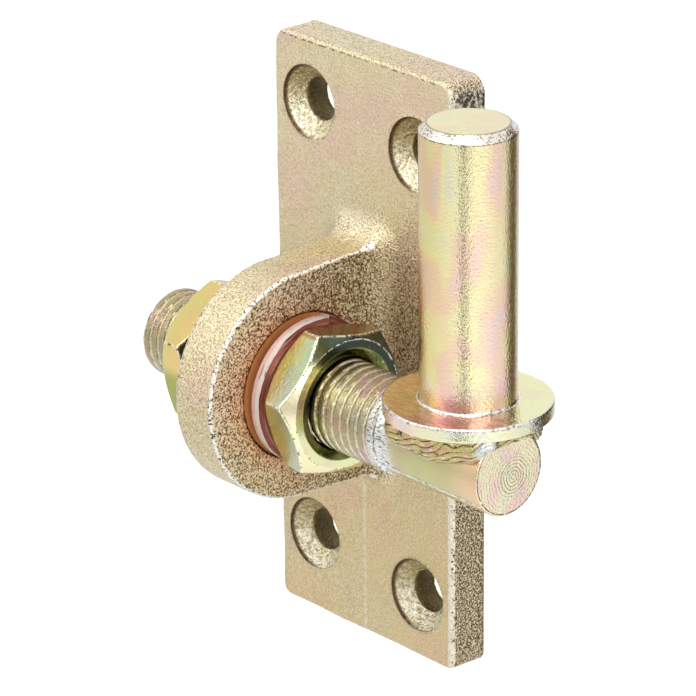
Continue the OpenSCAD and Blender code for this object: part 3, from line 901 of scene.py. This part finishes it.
bead_share = np.linspace(0, 1, 440)[:, None]
run_x, run_y, run_z, run_r, run_along = weld_run(bead_share)
outward_x, outward_y = np.gradient(run_y[:, 0])[:, None], -np.gradient(run_x[:, 0])[:, None]
outward_length = np.hypot(outward_x, outward_y)
outward_x, outward_y = outward_x / outward_length, outward_y / outward_length
around = np.linspace(0, 2 * np.pi, 200, endpoint=False)[None, :]
around = around - 0.45 * np.sin(around)
from_tail = np.minimum(run_along, run_along[-1] - run_along)
tail_share = np.clip(from_tail / (heavy_r + 1.0), 0, 1)
tail = np.sqrt(tail_share * (2 - tail_share))
bead_r = np.where(from_tail < heavy_r + 2.0, heavy_r * tail, run_r)
skin_at = np.stack(np.broadcast_arrays(run_x, run_y + 4 * np.cos(around), run_z + 4 * np.sin(around)), -1)
waver = lumps(skin_at.reshape(-1, 3), 2.6, 11).reshape(len(bead_share), -1)
down = -bead_r * np.arcsin(np.sin(around))
drag = (down * 0.95 + from_tail * 0.30) / ripple_pitch + 0.75 * waver
ripple = np.abs(np.sin(np.pi * drag)) ** 0.6
bead_r = bead_r * (0.97 + 0.02 * waver) - ripple_depth * (1 - ripple) * np.minimum(1, tail)
by_end = np.exp(-((run_x - stud_right + 0.6) / 1.1) ** 2 - ((run_y + 6.2) / 1.3) ** 2)
lump = 0.8 * by_end * np.clip(np.cos(around + 0.3), 0, 1) ** 2
bead_out = (bead_r + lump) * np.cos(around)
bead_up = (bead_r + lump) * np.sin(around)
bead = np.stack(np.broadcast_arrays(
    run_x + outward_x * bead_out, axis_y + run_y + outward_y * bead_out, run_z + bead_up), -1)
bead[..., 2] = np.minimum(bead[..., 2], collar_under)
weld_points, weld_faces = capped(bead, bead[0].mean(0), bead[-1].mean(0), flip=True)
weld = surface(
    "weld_run", weld_points, weld_faces, "pintle", "weld_bead",
    {"ripple": on_points(ripple), "silver": on_points(np.clip(lump * 2.2, 0, 1))})

zinc = Plating("weld_zinc", 0.24)
ripples = zinc.stored("ripple")
broken = zinc.noise(zinc.spot, 620.0, 2.0, 0.6)
valleys = zinc.times((ripples, 0.62, 0.30), (broken, 0.36, 0.50, 0.25, 1.0))
ridges = zinc.times((ripples, 0.90, 1.0), (broken, 0.50, 0.64, 0.0, 0.7))
# painted shadow: dark along the bead's top, under the collar's rim
collar_shadow = zinc.stepped(zinc.z, collar_under - 0.9, collar_under - 0.3, 0.0, 0.9)
slag = zinc.stepped(zinc.noise(zinc.spot, 700.0, 2.0, 0.6), 0.40, 0.30)
weld_colour = zinc.layered(
    zinc.film(260.0, (0.60, 0.50, 0.27), 1.0),
    (valleys, (0.07, 0.05, 0.03)),
    (ridges, (0.96, 0.93, 0.84)),
    (collar_shadow, (0.05, 0.04, 0.025)),
    (slag, (0.06, 0.05, 0.04)),
    (zinc.stored("silver"), (0.66, 0.67, 0.66)),
)
zinc.dress([weld], weld_colour, zinc.grain(1400.0, 3600.0)["Height"], 0.00016)

# ----------------------------------------
# Nuts: thin M20 hexagon nuts, forged, chamfered on both faces, countersunk and tapped; zinc
# plated with a thick green-gold passivation.
# ----------------------------------------
nut_half_af, nut_m, nut_face_r, nut_sink_r = 15.0, 9.0, 14.25, 12.1
nut_corner_r = nut_half_af / np.cos(np.radians(30)) - 0.12
nut_slope = np.tan(np.radians(38))
sink_slope = 0.42
mouth_r, mouth_deep = 10.3, 1.7
bore_slack = 0.14
corner_share = np.linspace(-1, 1, 30, endpoint=False)
corner_share = np.sign(corner_share) * np.abs(corner_share) ** 0.55
nut_degrees = np.concatenate([k * 60 + 30 + 30 * corner_share * (1 - 1e-9) for k in range(6)])
nut_degrees = np.sort(nut_degrees % 360)[None, :]


def soft_least(a, b, width):
    """Smaller of two values, with the corner between them eased over a width."""
    share = np.clip(0.5 + 0.5 * (b - a) / width, 0, 1)
    return b + (a - b) * share - width * share * (1 - share)


def thin_nut(node, turned_deg, name):
    """Nut as one closed band of rings: up the flats, where the hexagon is cut by the chamfer's cone, in over
    the face, down through countersink and thread, and out over the bearing face."""
    x0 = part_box(node)[0][0] / MM
    angle = np.radians(nut_degrees) + np.radians(turned_deg)
    off_flat = (nut_degrees % 60) - 30
    hexagon = soft_least(nut_half_af / np.cos(np.radians(off_flat)), nut_corner_r, 0.25)
    cut_z = np.linspace(0.0, 2.5, 26)
    side_z = np.concatenate([cut_z, np.linspace(2.8, nut_m - 2.8, 5), nut_m - cut_z[::-1]])[:, None]
    cone = nut_face_r + np.minimum(side_z, nut_m - side_z) / nut_slope
    face_r = nut_face_r + (nut_sink_r - nut_face_r) * np.linspace(0, 1, 7)[1:-1, None] + 0 * angle
    bore_z = np.linspace(nut_m, 0, 76)[:, None]
    threads = root_r + bore_slack + (crest_r - root_r) * thread_depth(x0 + bore_z, angle)
    mouth = np.where(bore_z > nut_m - mouth_deep, mouth_r, 0)
    sink = nut_sink_r - np.minimum(bore_z, nut_m - bore_z) / sink_slope
    bore_r = -soft_least(-np.maximum(threads, mouth), -sink, 0.15)
    z = np.concatenate([side_z, np.full((len(face_r), 1), nut_m), bore_z, np.zeros((len(face_r), 1))])
    r = np.concatenate([soft_least(hexagon, cone, 0.35), face_r, bore_r, face_r[::-1]])
    points = around_stud(x0 + z, r, angle)
    rows, columns = points.shape[:2]
    side_rows = len(side_z)
    bore = slice(side_rows + len(face_r), side_rows + len(face_r) + len(bore_z))
    edge, sunk, face = (np.zeros((rows, columns)) for _ in range(3))
    at_corner = np.exp(-((30 - np.abs(off_flat)) / 0.9) ** 2) * (hexagon < cone)
    edge[:side_rows] = np.maximum(at_corner, np.exp(-((hexagon - cone) / 0.24) ** 2))
    edge[side_rows - 1] = edge[0] = 1.0
    sunk[bore] = np.clip((nut_m - bore_z) / 1.3, 0.35, 1)
    face[:side_rows] = np.clip((hexagon - cone) / 0.12 + 0.5, 0, 1) * (side_z > nut_m / 2)
    face[side_rows:bore.start] = 1.0
    out = np.broadcast_to(z / nut_m, (rows, columns))
    faces = sheet_faces(rows, columns, wrap_rows=True)[:, ::-1]
    return surface(
        name, points.reshape(-1, 3), faces.tolist(), node, node,
        {"edge": edge.ravel(), "sunk": sunk.ravel(), "out": out.ravel(), "face": face.ravel()}, sharp=25)


front_nut = thin_nut("front_nut", 20, "front_thin_nut")
rear_nut = thin_nut("rear_nut", 9, "rear_thin_nut")
front_face_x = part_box("front_nut")[0][0] / MM + nut_m
green_gold, gold_side, gold_end = (0.66, 0.59, 0.28), (0.72, 0.62, 0.24), (0.80, 0.60, 0.25)
sea_green, face_straw = (0.50, 0.59, 0.42), (0.90, 0.89, 0.58)
for nut, plating_name, inner, outer, face_tone, face_shadow, patchy in (
    (front_nut, "front_nut_zinc", green_gold, sea_green, face_straw, (0.05, 0.07, 0.055), 0.6),
    (rear_nut, "rear_nut_zinc", gold_side, gold_end, gold_end, (0.03, 0.02, 0.01), 0.3),
):
    zinc = Plating(plating_name, 0.15)
    blotches = zinc.noise(zinc.spot, 170.0)
    chips = zinc.noise(zinc.spot, 1400.0, 2.0, 0.7)
    on_face, edges, sunk = zinc.stored("face"), zinc.stored("edge"), zinc.stored("sunk")
    side = zinc.mixed((zinc.ragged(zinc.stored("out"), blotches, 1.6), 0.25, 0.75), inner, outer)
    if nut is rear_nut:
        # painted shade: darker and greener towards the bottom
        side = zinc.mixed((zinc.z, 1, -3), side, (0.40, 0.42, 0.13))
        shaded = 1.0
    else:
        # painted shade: the top facet darker brown
        top_facet_shade = zinc.times((zinc.z, 11.5, 13.0, 0.0, 0.9), (zinc.y, axis_y - 6.9, axis_y - 6.4))
        side = zinc.mixed(top_facet_shade, side, (0.44, 0.22, 0.09))
        towards_wall = zinc.times_plus(zinc.minus(zinc.y, axis_y), 0.6, zinc.z)
        shaded = zinc.stepped(zinc.ragged(towards_wall, blotches, 10), 2, 8)
    flat_face = zinc.stepped(zinc.x, front_face_x - 0.25, front_face_x - 0.08)
    sink_film = zinc.mixed((blotches, 0.42, 0.58), (0.10, 0.13, 0.03), (0.24, 0.23, 0.07))
    scratches = zinc.noise(zinc.stretched((0.25, 1.0, 1.0)), 900.0, 3.0, 0.7)
    nut_colour = zinc.layered(
        zinc.film(120.0, zinc.mixed(on_face, side, face_tone), patchy),
        # painted shadow on chamfer and face: on the front nut where it turns towards the wall, all over the
        # rear nut's, which faces the eye across a gap
        (zinc.times(on_face, shaded, 0.95), face_shadow),
        # painted shade: the front nut's flat face near black where it turns towards the wall
        (zinc.times(flat_face, shaded, 0.5), (0.012, 0.018, 0.015)),
        # bore: olive film, going into painted shade, near black, deeper in
        ((sunk, 0.1, 0.3), zinc.mixed((sunk, 0.8, 1.0), sink_film, (0.02, 0.018, 0.012))),
        # worn corners and chamfer edges painted white, also standing in for their highlight
        (zinc.times(edges, (chips, 0.44, 0.54, 0.0, 0.9)), (0.98, 0.98, 0.92)),
        (zinc.times(edges, (chips, 0.44, 0.36)), (0.05, 0.05, 0.03)),
        ((scratches, 0.66, 0.74, 0.0, 0.6), (0.95, 0.93, 0.85)),
    )
    zinc.dress([nut], nut_colour, zinc.grain(1100.0, 3500.0)["Height"], 0.00006)

# ----------------------------------------
# Spring washers: a square bar of spring steel coiled nearly once round, cut off with sharp
# ends that bite into nut and eye, hardened and zinc plated with a rose passivation.
# ----------------------------------------
washer_r, washer_b, washer_s, washer_gap = 16.0, 5.8, 3.7, 9.0
squareness = 0.28


def spring_washer(node, start_deg, name):
    """Rounded square section carried along a left-hand helix of nearly a turn, whose rise follows a quarter
    of a sine and is done by four fifths of the way; both ends are cut square and closed."""
    low, high = (np.array(end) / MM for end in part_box(node))
    share = np.linspace(0, 1, 150)[:, None]
    angle = np.radians(start_deg - (360 - washer_gap) * share)
    lift = (high[0] - low[0] - washer_s) * np.sin(np.pi / 2 * np.minimum(1.25 * share, 1))
    corner = np.linspace(0, 2 * np.pi, 40, endpoint=False)[None, :]
    wide = np.sign(np.cos(corner)) * np.abs(np.cos(corner)) ** squareness + 0 * share
    tall = np.sign(np.sin(corner)) * np.abs(np.sin(corner)) ** squareness + 0 * share
    r = washer_r - washer_b / 2 + washer_b / 2 * wide
    rings = around_stud(low[0] + lift + washer_s / 2 + washer_s / 2 * tall, r, angle)
    points, faces = capped(rings, rings[0].mean(0), rings[-1].mean(0))
    wall = on_points(np.clip((wide - 0.55) / 0.25, 0, 1))
    across = on_points(0.5 + 0.5 * tall, 0.5)
    return surface(
        name, points, faces, "wall_plate", node, {"wall": wall, "across": across}, sharp=35)


washers = [
    spring_washer("front_spring_washer", 160, "front_split_washer"),
    spring_washer("rear_spring_washer", 60, "rear_split_washer"),
]
zinc = Plating("spring_zinc", 0.14, metallic=0.5)
coil_lines = zinc.noise(zinc.stretched((3.4, 0.35, 0.35)), 480.0, 2.0, 0.6)
outer_wall = zinc.stored("wall")
inner_wall = zinc.film(150.0, (0.95, 0.76, 0.80), 0.7)
# painted light across the outer wall: rose, a broad painted highlight in white, a painted black reflection
# line, then dark red painted shade next to the nut
painted_wall_bands = zinc.tinted(zinc.ragged(zinc.stored("across"), coil_lines, 0.30), [
    (0.0, (0.95, 0.70, 0.74)), (0.40, (0.92, 0.74, 0.82)), (0.46, (1.0, 0.98, 0.97)),
    (0.76, (1.0, 0.98, 0.97)), (0.80, (0.03, 0.015, 0.015)), (0.88, (0.20, 0.04, 0.03)),
    (1.0, (0.24, 0.05, 0.03))])
# painted shade: every face but the outer wall dark red
shaded_faces = zinc.mixed(outer_wall, (0.24, 0.045, 0.03), inner_wall)
# thin dark painted reflection lines along the coil
washer_colour = zinc.layered(
    shaded_faces, (outer_wall, painted_wall_bands), ((coil_lines, 0.36, 0.28, 0.0, 0.85), (0.08, 0.02, 0.02)))
zinc.tree.links.new(washer_colour, zinc.shader["Base Color"])
for washer in washers:
    washer.data.materials.append(zinc.material)
